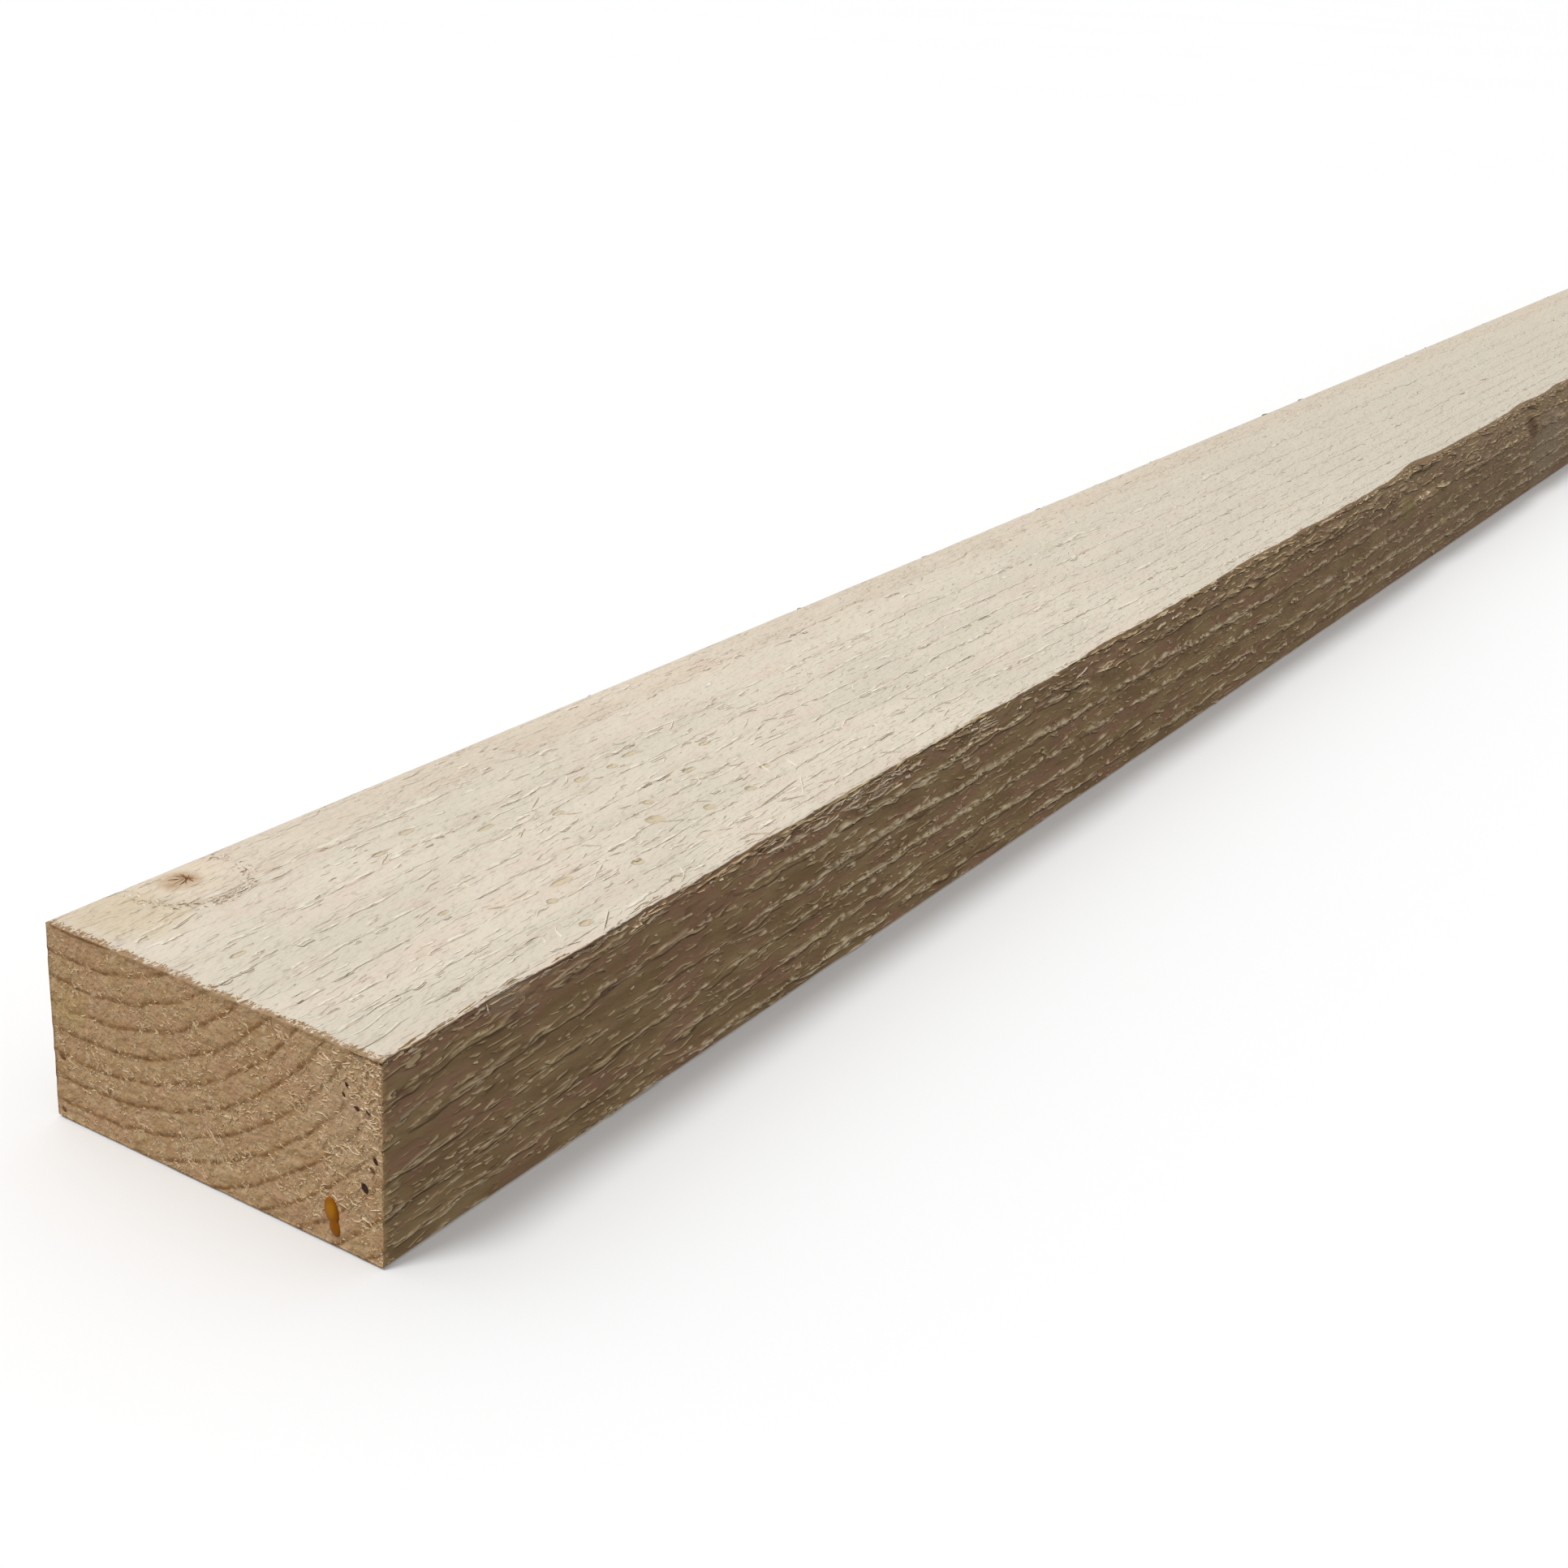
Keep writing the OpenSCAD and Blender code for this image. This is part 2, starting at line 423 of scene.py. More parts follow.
# Rings of a sliver between its two tips, as distance along, breadth and height
WAVY = [(0.1, 1.0, 0.6), (0.3, 1.0, 1.0), (0.5, 1.0, 0.85), (0.7, 1.0, 1.0), (0.9, 1.0, 0.65)]
FEATHER = [(0.12, 0.8, 0.7), (0.35, 1.0, 1.0), (0.6, 0.8, 0.9), (0.85, 0.4, 0.6)]
LONG = [(0.2, 0.75, 0.6), (0.5, 1.0, 1.0), (0.8, 0.7, 0.9)]
MIDDLING = [(0.28, 1.0, 1.0), (0.7, 0.6, 0.8)]
SHORT = [(0.5, 1.0, 1.0)]
# How far the slivers reach into the wood, and where the foot under a ledge's crest lies, across and up; the
# foot carries the ledge's painted shadow
SINK = 0.15
FOOT_ASIDE, FOOT_UP = 0.06, 0.06
# Waves of a sliver's line: share of its wave, and how much its own start and the way along it turn them
WAVES = [(1.0, 1.0, 9), (0.6, 2.3, 21)]
# How a ledge's tone, painted highlight at its crest and painted shadow at its foot, comes and goes along it:
# mean, swing, and turns as above
GLOW_MEAN, GLOW_SWING, GLOW_START, GLOW_TURN = 0.8, 0.5, 3, 14


def sliver_faces(rings, sides):
    """Triangles of one sliver. Its first and last points are the tips, with rings of some sides between."""
    last = sides * len(rings) + 1
    end = last - sides - 1
    faces = []
    for side in range(sides):
        left, right = 1 + side, 1 + (side + 1) % sides
        faces.append((0, left, right))
        for step in range(0, end, sides):
            faces.append((left + step, left + step + sides, right + step))
            faces.append((right + step, left + step + sides, right + step + sides))
        faces.append((last, right + end, left + end))
    return np.array(faces)


def sliver_map(count, rings, sides):
    """The slivers' flat map for baking: a small cell of the map to each, with its sides as strips."""
    rim, border = 0.08, 0.1
    along = [0] + [ring[0] for ring in rings] + [1]
    cells = int(np.ceil(np.sqrt(count)))
    one = []
    strip = (1 - 2 * rim) / sides
    for side in range(sides):
        low_v, high_v = rim + strip * side, rim + strip * (side + 1)
        middle = (low_v + high_v) / 2
        one.append([(along[0], middle), (along[1], low_v), (along[1], high_v)])
        for start, stop in zip(along[1:-2], along[2:-1]):
            one.append([(start, low_v), (stop, low_v), (start, high_v)])
            one.append([(start, high_v), (stop, low_v), (stop, high_v)])
        one.append([(along[-1], middle), (along[-2], high_v), (along[-2], low_v)])
    one = np.array(one).reshape(-1, 2) * (1 - 2 * border) + border
    cell = np.stack([np.arange(count) % cells, np.arange(count) // cells], -1)
    return (cell[:, None] + one[None]) / cells


def slivers(name, material, parts, rings=LONG, ledge=False):
    """One joined piece of closed slivers, from dicts of arrays that say how each one lies.

    A ledge has its tone at the crest as painted highlight, where it comes and goes along it, as much painted
    shadow at the foot below the crest, and none where it meets the wood."""
    joined = {key: np.concatenate([part[key] for part in parts]) for key in parts[0]}
    place, along, outward, tone = (joined[key] for key in ("place", "along", "outward", "tone"))
    across = np.cross(outward, along)
    length, breadth, height = (joined[key][:, None] for key in ("length", "breadth", "height"))
    lift, bow, skew, wave, start = (joined[key][:, None] for key in ("lift", "bow", "skew", "wave", "start"))
    tip_tone = 0 * tone if ledge else tone
    points, tones = [place - along * length / 2 - outward * SINK], [tip_tone]
    for part, wide, tall in rings:
        sway = sum(share * np.sin(turn * start + rate * part) for share, turn, rate in WAVES)
        aside = bow * 4 * part * (1 - part) + wave * sway
        spine = place + along * (part - 0.5) * length + across * aside + outward * lift * part**2
        half = across * breadth * wide / 2
        crest = spine + 2 * half * skew
        points += [spine - half - outward * SINK, crest + outward * height * tall]
        if ledge:
            # A ledge's crest takes the glow as painted highlight, and its foot the same as painted shadow
            glow = tone * (GLOW_MEAN + GLOW_SWING * np.sin(GLOW_START * joined["start"] + GLOW_TURN * part))
            points += [crest + across * FOOT_ASIDE + outward * FOOT_UP, spine + half]
            tones += [tip_tone, glow, -glow, tip_tone]
        else:
            points.append(spine + half - outward * SINK)
            tones += [tone, tone, tone]
    points.append(place + along * length / 2 + outward * lift)
    tones.append(tip_tone)
    count, each, sides = len(place), len(points), 4 if ledge else 3
    faces = (each * np.arange(count)[:, None, None] + sliver_faces(rings, sides)[None]).reshape(-1, 3)
    points = np.clip(np.stack(points, 1).reshape(-1, 3), low + MARGIN, high - MARGIN)
    piece = mesh_piece(name, points, faces, [material], values={"tone": np.stack(tones, 1).ravel()},
                       map_uv=sliver_map(count, rings, sides), smooth=False)


# A kind of sliver: least and most length, breadth, height and tone, then how far it turns off the grain in
# degrees, its bow as a share of its length, and the size of its waves
Kind = namedtuple("Kind", "length breadth height tone spread bow wave", defaults=(6.0, 0.05, 0.0))
# Stands for measures that a list gives
LISTED = 1, 1
KINDS = {
    "wide ledge": Kind((2, 10), (1.0, 2.8), (0.12, 0.28), (0.3, 0.95), 5, 0.05, 0.12),
    "wide ridge": Kind((1, 5), (0.6, 1.6), (0.08, 0.24), (0.1, 0.6), 10),
    "edge ledge": Kind((3, 18), (0.7, 2.0), (0.25, 0.46), (0.6, 1.2), 5, 0.04, 0.12),
    "edge flake": Kind((1.5, 6), (0.5, 1.4), (0.15, 0.4), (0.2, 0.9), 8),
    "edge chip": Kind((1.5, 6), (0.3, 0.5), (0.2, 0.36), (0.45, 0.95), 8, 0.08, 0.1),
    "near stub": Kind((0.6, 2.0), (0.3, 0.7), (0.05, 0.2), (0.25, 0.6), 40),
    "pit rim": Kind(LISTED, LISTED, (0.3, 0.3), (0.85, 1.0), 5, 0.03),
    "streak": Kind(LISTED, LISTED, (0.15, 0.15), (0.05, 0.25), 5, 0.03),
    "knot ring": Kind((0.8, 2.4), (0.35, 0.7), (0.15, 0.3), (0.25, 1.0), 30),
    "knot split": Kind((5, 7), (0.6, 1.0), (0.12, 0.2), (0.0, 0.4), 4),
    "loose splinter": Kind((2.5, 10), (0.3, 0.55), (0.25, 0.36), (0.9, 1.0), 28, 0.12, 0.15),
    "listed splinter": Kind(LISTED, (0.3, 0.4), (0.3, 0.36), (0.9, 1.0), 0),
    "arris clump": Kind((3, 14), (0.4, 1.0), (0.15, 0.36), (0.1, 0.55), 3, 0.04, 0.25),
    "arris fray": Kind((2, 9), (0.3, 0.7), (0.15, 0.34), (0.05, 0.5), 4, 0.05, 0.25),
    "arris tuft": Kind(LISTED, LISTED, (0.3, 0.3), (0.25, 0.5), 6, 0.03, 0.2),
    "arris split": Kind((1.5, 8), (0.25, 0.55), (0.1, 0.2), (0.4, 0.8), 3, 0.04, 0.1),
    "arris hair": Kind(LISTED, LISTED, (0.2, 0.2), (1.0, 1.0), 5, 0.03),
    "end speck": Kind((0.9, 2.8), (0.4, 0.8), (0.06, 0.2), (0.5, 0.85), bow=0.3),
    "end hair": Kind((0.8, 3), (0.3, 0.6), (0.02, 0.12), (0.5, 0.9), bow=0.25),
    "end tear": Kind((1, 4), (0.3, 0.6), (0.02, 0.12), (0.6, 0.95), bow=0.05),
    "end curl": Kind((1, 4.5), (0.3, 0.55), (0.1, 0.3), (0.6, 0.95), bow=0.2),
    "end pit": Kind(LISTED, LISTED, (0.06, 0.06), LISTED, bow=0.05),
}
# Power that makes few of the slivers on the long faces long and broad
FEW_LONG = 1.7
# The most length of a sliver, as a multiple of the room from its middle to where the wood ends, and to an
# arris that it turns towards
END_FILL, ARRIS_FILL = 1.8, 1.7
# Part of a ring between the crest of a torn ledge and the dark line of painted shadow under it
LIP = 0.05
# Depth of a sawn end's tufts under the outside of its wood
TUFT_DEPTH = 0.25


def low_side(outward, along):
    """1 where a sliver's crosswise way points to the front or the floor, and -1 where it points away."""
    return np.where(np.cross(outward, along) @ np.array((0, -1.0, -1.0)) < 0, -1.0, 1.0)


def grain_turn(place, across):
    """The angle between the plank's length and the growth ring's line at each place."""
    step, flat, most = 5.0, 0.05, 0.15
    s = place[:, 0] - NEAR
    here = ring_number(s, place[:, 1], place[:, 2])
    ahead = ring_number(s + step, place[:, 1], place[:, 2]) - here
    aside = ring_number(s, *(place + across * step)[:, 1:].T) - here
    return np.arctan(np.clip(-ahead / np.where(np.abs(aside) < flat, np.inf, aside), -most, most))


def lay(face, s, u, rng, kind, aim=None):
    """Slivers of a kind on a long face at s and u, each along the grain or aimed, give or take its spread."""
    edge, least = 0.8, 0.2
    room = np.minimum(u, FACES[face].breadth - u) - edge
    if face == "top":
        room = np.minimum(room, WIDTH - wane(s)[0] - u - edge)
    to_end = np.minimum(s, LENGTH - s) - 2 * INSET
    keep = (room > least) & (to_end > least)
    s, u, room, to_end = s[keep], u[keep], room[keep], to_end[keep]
    count = len(s)
    place, outward, across = surface(face, s, u)
    turn = grain_turn(place, across) if aim is None else aim[keep]
    turn = turn + np.radians(kind.spread * rng.standard_normal(count))
    along = ALONG * np.cos(turn)[:, None] + across * np.sin(turn)[:, None]
    along *= low_side(outward, along)[:, None]
    length = between(kind.length, rng.random(count) ** FEW_LONG)
    length = np.minimum(length, END_FILL * to_end)
    length = np.minimum(length, ARRIS_FILL * room / np.maximum(np.abs(np.sin(turn)), 0.02))
    height = between(kind.height, rng.random(count))
    return {
        "place": place, "outward": outward, "along": along, "length": length, "height": height,
        "breadth": np.minimum(between(kind.breadth, rng.random(count) ** FEW_LONG), room),
        "lift": np.clip(0.95 * INSET - height, 0, 0.1) * rng.random(count),
        "bow": np.minimum(kind.bow * length, 0.3 * room) * rng.standard_normal(count).clip(-1.5, 1.5),
        "wave": np.minimum(kind.wave * between((0.4, 1.0), rng.random(count)), 0.2 * room),
        "start": 6.3 * rng.random(count), "skew": np.full(count, 0.3),
        "tone": between(kind.tone, rng.random(count)),
    }


def scatter(face, count, rng, seed, calm):
    """Random places on a long face, closer together near the near end and on torn patches."""
    s = THIN_OUT * ((1 + LENGTH / THIN_OUT) ** rng.random(count) - 1)
    u = FACES[face].breadth * rng.random(count)
    patch = ease(noise(s / 40, u / 9, seed), 0.3, 0.7)
    keep = rng.random(count) < calm + (1 - calm) * patch
    return s[keep], u[keep]


def snap(face, s, u, rng, share):
    """Moves a share of some places across a long face to the nearest crest of the ledges along its rings."""
    (corner_y, corner_z), (across_y, across_z), _, _, start, _ = FACES[face]

    def rings(u):
        return ring_number(s, corner_y + across_y * u, corner_z + across_z * u) + shake(s, start + u)

    chosen = rng.random(len(s)) < share
    step, flat, most = 0.3, 0.03, 6.0
    moved = u
    for _ in range(3):
        here = rings(moved)
        rate = (rings(moved + step) - here) / step
        rate = np.where(np.abs(rate) < flat, np.inf, rate)
        moved = moved - np.clip((here + LIP - np.round(here + LIP)) / rate, -most, most)
    return u + chosen * (moved - u)


def beside(part, shift, **changes):
    """A copy of some slivers, shifted towards the front or the floor, with some measures changed."""
    across = np.cross(part["outward"], part["along"])
    moved = dict(part, place=part["place"] + across * np.reshape(shift, (-1, 1)))
    for key, value in changes.items():
        moved[key] = np.zeros(len(part["length"])) + value
    return moved


def ledges(name, wood, part, rings):
    """Torn ledges: ramps of the face's own wood, each with a pale crest and a dark foot at its low side."""
    # The pale crest is partly painted highlight, and the dark foot is painted shadow
    slivers(name, wood, [beside(part, 0, skew=0.2, lift=0)], rings, True)


def with_painted_shadow(part, rng, tone, share=0.7):
    """Slivers, and a dark line of painted shadow along the low side of each, a share as broad."""
    count = len(part["length"])
    length = between((0.7, 1.0), rng.random(count)) * part["length"]
    shade = beside(part, (0.4 + 0.4 * share) * part["breadth"], breadth=share * part["breadth"],
                   length=length, height=0.05, lift=0, skew=0, tone=between(tone, rng.random(count)))
    return [part, shade]


def wide_fibres(face, count, seed, wood):
    """Torn fibres of a wide face: wavy ledges, most on the growth rings, and small ridges between."""
    rng = np.random.default_rng(seed)
    s, u = scatter(face, count, rng, seed, 0.3)
    u = snap(face, s, u, rng, 0.7)
    part = lay(face, s, u, rng, KINDS["wide ledge"])
    part["tone"] *= 1 - 0.5 * ease(part["place"][:, 0] - NEAR, *BLUR_RUN)
    ledges(face + "_ledges", wood, part, WAVY)
    s, u = scatter(face, count, rng, seed + 1, 0.35)
    rough = rng.random(len(u)) < 0.4 + 0.6 * ease(u, 12, 24)
    ledges(face + "_ridges", wood, lay(face, s[rough], u[rough], rng, KINDS["wide ridge"]), MIDDLING)


def edge_fibres(face, count, seed, wood, fibre):
    """Torn fibres of a narrow edge: ledges, most on the growth rings, and flakes and pale chips between."""
    rng = np.random.default_rng(seed)
    s, u = scatter(face, count, rng, seed, 0.3)
    rough = rng.random(len(s)) < 0.4 + 0.6 * ease(s, *CALM_RUN)
    s, u = s[rough], u[rough]
    u = snap(face, s, u, rng, 0.85)
    part = lay(face, s, u, rng, KINDS["edge ledge"])
    part_s = part["place"][:, 0] - NEAR
    grown, far = ease(part_s, *CALM_RUN), ease(part_s, *BLUR_RUN)
    part["tone"] *= (0.6 + 0.4 * grown) * (1 - 0.3 * far)
    part["breadth"] *= 1 + 0.9 * grown + 0.9 * far
    to_end = LENGTH - 2 * INSET - part_s
    part["length"] = np.minimum(part["length"] * (1 + 0.8 * far), END_FILL * to_end)
    ledges(face + "_ledges", wood, part, FEATHER)
    s, u = scatter(face, count, rng, seed + 1, 0.3)
    part = lay(face, s, u, rng, KINDS["edge flake"])
    part["tone"] *= 1 - 0.6 * ease(part["place"][:, 0] - NEAR, *BLUR_RUN)
    ledges(face + "_flakes", wood, part, MIDDLING)
    s, u = scatter(face, count // 8, rng, seed + 2, 0.15)
    chips = lay(face, s, u, rng, KINDS["edge chip"])
    # Pale chips, each with a dark line of painted shadow beside it
    slivers(face + "_chips", fibre, with_painted_shadow(chips, rng, (0.1, 0.3), 0.6))


def end_tufts(x, outward_x, across, down, turn, rng, kind):
    """Tufts of cut fibre of a kind on a sawn end, at distances from the back edge and from the top."""
    edge = 1.0
    y = np.clip(BACK - across, FRONT + edge, BACK - edge)
    z = np.clip(TOP - down, BASE + edge, TOP - edge)
    room = np.minimum(np.minimum(y - FRONT, BACK - y), np.minimum(z - BASE, TOP - z)) - INSET
    reach, depth = wane(np.array([x - NEAR]))
    from_wane = ((y - FRONT) / reach + (TOP - z) / depth - 1) / np.hypot(1 / reach, 1 / depth)
    room = np.minimum(room, np.maximum(from_wane, INSET))
    count = len(y)
    length = np.minimum(between(kind.length, rng.random(count) ** 2), END_FILL * room)
    tufts = {
        "place": np.stack([np.full(count, x - outward_x * TUFT_DEPTH), y, z], 1),
        "outward": np.zeros((count, 3)) + (outward_x, 0, 0),
        "along": np.stack([0 * turn, np.cos(turn), np.sin(turn)], 1),
        "length": length, "breadth": np.minimum(between(kind.breadth, rng.random(count)), room),
        "height": between(kind.height, rng.random(count)), "lift": 0.1 * rng.random(count),
        "bow": kind.bow * np.minimum(length, room) * rng.standard_normal(count).clip(-2, 2),
        "skew": np.zeros(count), "wave": np.zeros(count), "start": np.zeros(count),
        "tone": between(kind.tone, rng.random(count)),
    }
    return {key: value[from_wane > 0] for key, value in tufts.items()}


def end_fibres(name, x, outward_x, count, seed, material):
    """Cut fibres of a sawn end: specks all over, tears across the rings, curled hairs, most at the front."""
    rng = np.random.default_rng(seed)
    side = pith_side(np.clip(x - NEAR, 0, LENGTH))

    def radial(across, down):
        return np.arctan2(TOP - down - PITH_Z, BACK - across - side)

    def torn(size):
        across, down = WIDTH * rng.random(size), THICK * rng.random(size)
        keep = rng.random(size) < 0.3 + 0.7 * ease(noise(across / 9, down / 6, seed), 0.35, 0.65)
        return across[keep], down[keep]

    def tufts(kind, across, down, turn):
        return end_tufts(x, outward_x, across, down, turn, rng, KINDS[kind])

    across, down = torn(count)
    turn = radial(across, down) + between((-1.5, 1.5), rng.random(len(across)))
    slivers(name + "_specks", material, [tufts("end speck", across, down, turn)], SHORT)

    hairs = count // 6
    across, down = torn(2 * hairs)
    turn = radial(across, down) + 0.9 * rng.standard_normal(len(across))
    loose = tufts("end hair", across, down, turn)
    across, down = (middle + TEARS_SPREAD * rng.standard_normal(hairs // 4) for middle in TEARS_AT)
    turn = radial(across, down) + 0.2 * rng.standard_normal(len(across))
    tears = tufts("end tear", across, down, turn)
    across, down = WIDTH - 1 - CURLS[0] * rng.random(hairs) ** 1.6, CURLS[1] * rng.random(hairs)
    curls = tufts("end curl", across, down, 2 * np.pi * rng.random(hairs))
    slivers(name + "_hairs", material, [loose, tears, curls])


def near_fringe(material):
    """Brown ends of fibres that stand up through the top face along its sawn near end."""
    rng = np.random.default_rng(155)
    count = 500
    s, u = 1.0 + 1.6 * rng.random(count) ** 1.5, WIDTH * rng.random(count)
    slivers("near_end_stubs", material, [lay("top", s, u, rng, KINDS["near stub"])])


def placed(face, spots, rng, kind):
    """Slivers of a kind on a long face, at the places and of the sizes in a list."""
    s, u, length, breadth = np.array(spots, float).T
    part = lay(face, s, u, rng, KINDS[kind])
    part["length"], part["breadth"] = length, breadth
    return part


def top_marks(material):
    """Marks of the top face: pale rims of the pits, dark streaks, the knot's torn ring, loose splinters."""
    rng = np.random.default_rng(161)
    rims = placed("top", PITS, rng, "pit rim")
    rims = beside(rims, -0.5 * rims["breadth"], breadth=0.4, length=0.9 * rims["length"])
    streaks = placed("top", STREAKS, rng, "streak")

    count = 170
    around = np.radians(between((-25, 205), rng.random(count)))
    away = KNOT_RING * (1 + 0.07 * rng.standard_normal(count))
    s, u = KNOT_S + away * np.cos(around), KNOT_U + away * np.sin(around)
    ring = lay("top", s, u, rng, KINDS["knot ring"], around + np.pi / 2)
    # The pits' pale rims come with dark lines of painted shadow
    slivers("top_marks", material, [streaks, ring] + with_painted_shadow(rims, rng, (0.25, 0.4), 1.2))

    count = 90
    s, u = between((50, 280), rng.random(count)), between((30, 97), rng.random(count))
    loose = lay("top", s, u, rng, KINDS["loose splinter"])
    s, u, length, turn = np.array(SPLINTERS).T
    listed = lay("top", s, u, rng, KINDS["listed splinter"], np.radians(turn))
    listed["length"] = length
    # Each splinter comes with a dark line of painted shadow
    shaded = with_painted_shadow(loose, rng, (0.3, 0.55)) + with_painted_shadow(listed, rng, (0.1, 0.3), 1.0)
    slivers("top_splinters", material, shaded, WAVY)


def knot_star(material):
    """The cracked heart of the top knot: a few dark red splits that cross."""
    rng = np.random.default_rng(171)
    count = len(KNOT_SPLITS)
    s, u = KNOT_S + rng.uniform(-0.7, 0.7, count), KNOT_U - 0.4 + rng.uniform(-0.6, 0.6, count)
    slivers("knot_star", material, [lay("top", s, u, rng, KINDS["knot split"], np.radians(KNOT_SPLITS))])


def arris_fuzz(pale, brown):
    """Torn fibres along the waney arris, pale where wood broke away in tufts, and brown splits above it."""
    rng = np.random.default_rng(181)
    s = np.concatenate([middle + half * rng.standard_normal(count) for middle, half, count in CLUMPS])
    u = 0.8 + 4 * rng.random(len(s)) ** 1.5
    fuzz = lay("front", np.abs(s) + 1, u, rng, KINDS["arris clump"])
    s = LENGTH * rng.random(360) ** 1.4
    frayed = lay("front", s, 0.8 + 1.0 * rng.random(len(s)) ** 2, rng, KINDS["arris fray"])
    tuft = placed("front", TUFTS, rng, "arris tuft")
    # Pale clumps with dark lines of painted shadow under them, frayed fibres and tufts
    slivers("arris_fuzz", pale, with_painted_shadow(fuzz, rng, (0.0, 0.1)) + [frayed, tuft], WAVY)
    s = LENGTH * rng.random(420) ** 1.4
    u = WIDTH - wane(s)[0] - 0.8 - 1.0 * rng.random(len(s)) ** 2
    slivers("arris_splits", brown, [lay("top", s, u, rng, KINDS["arris split"])], WAVY)

    hair = placed("front", HAIRS, rng, "arris hair")
    hair["along"] = np.cross(ALONG, hair["outward"])
    slivers("arris_hair", pale, [hair])


def end_pits(material):
    """Dark pits in the near end, where fibres were pulled out, as flat slivers painted with the shade inside
    them.
    """
    rng = np.random.default_rng(191)
    across, down, breadth, tone = np.array(END_PITS).T
    turn = between((0.4, 1.2), rng.random(len(across)))
    part = end_tufts(NEAR + INSET, -1, across, down, turn, rng, KINDS["end pit"])
    part["length"], part["breadth"], part["tone"] = 1.6 * breadth, breadth, tone
    part["place"][:, 0] -= TUFT_DEPTH
    slivers("near_end_pits", material, [part])


def resin_bead(material):
    """The run of resin on the near end: two flat drops, the lower one smaller and half under the upper."""
    steps, sides, rise, sink, seat = 28, 10, 0.4, 0.3, 0.1
    part = np.linspace(0, 1, steps)
    drops = [wide * np.sqrt(np.clip(1 - ((part - at) / reach) ** 2, 0.001, 1))
             for at, reach, wide in RESIN_DROPS]
    half = np.max(drops, 0)
    run = np.array(RESIN_FOOT) - np.array(RESIN_TOP)
    side = np.array((run[1], -run[0])) / np.hypot(*run)
    middle = np.array(RESIN_TOP) + part[:, None] * run
    angle = np.linspace(0, np.pi, sides)
    across, down = np.moveaxis(middle[:, None] + side * (half[:, None] * np.cos(angle))[..., None], -1, 0)
    raised = rise * np.sqrt(half / half.max())[:, None] * np.sin(angle) - sink * (np.sin(angle) < 0.01)
    points = np.stack([NEAR + INSET + seat - raised, BACK - across, TOP - down], -1).reshape(-1, 3)
    ring = np.arange(steps * sides).reshape(steps, sides)
    skin = quads(np.concatenate([ring, ring[:, :1]], 1))
    skin = np.concatenate([skin[:, [0, 1, 2]], skin[:, [0, 2, 3]]])
    caps = [[row[0], row[k + far], row[k + (not far)]] for row, far in ((ring[0], 1), (ring[-1], 0))
            for k in range(1, sides - 1)]
    mesh_piece("resin_bead", points, np.concatenate([skin, caps]), [material])


def colour(red, green, blue):
    """A colour from 0 to 255, as Blender's linear values."""
    parts = np.array((red, green, blue)) / 255
    linear = np.where(parts <= 0.04045, parts / 12.92, ((parts + 0.055) / 1.055) ** 2.4)
    return (*(float(v) for v in linear), 1.0)


class Nodes:
    """A tree of shader nodes, with one short call for each kind of node."""

    def __init__(self, tree):
        self.nodes, self.links = tree.nodes, tree.links

    def node(self, kind, inputs, **settings):
        made = self.nodes.new(kind)
        for key, value in settings.items():
            setattr(made, key, value)
        for key, value in inputs.items():
            if isinstance(value, bpy.types.NodeSocket):
                self.links.new(value, made.inputs[key])
            else:
                made.inputs[key].default_value = value
        return made

    def math(self, operation, first, second=0.0):
        return self.node("ShaderNodeMath", {0: first, 1: second}, operation=operation).outputs[0]

    def add(self, first, second):
        return self.math("ADD", first, second)

    def less(self, first, second):
        return self.math("SUBTRACT", first, second)

    def product(self, *values):
        result = values[0]
        for value in values[1:]:
            result = self.math("MULTIPLY", result, value)
        return result

    def ramp(self, value, start, stop, low=0.0, high=1.0, kind="LINEAR"):
        limits = {0: value, 1: start, 2: stop, 3: low, 4: high}
        return self.node("ShaderNodeMapRange", limits, interpolation_type=kind).outputs[0]

    def ease(self, value, start, stop, low=0.0, high=1.0):
        return self.ramp(value, start, stop, low, high, "SMOOTHSTEP")

    def fall(self, value, start, stop):
        return self.ease(value, start, stop, 1.0, 0.0)

    def band(self, value, rise, fall):
        """1 between a rise and a fall, each given by where it starts and stops."""
        return self.product(self.ease(value, *rise), self.fall(value, *fall))


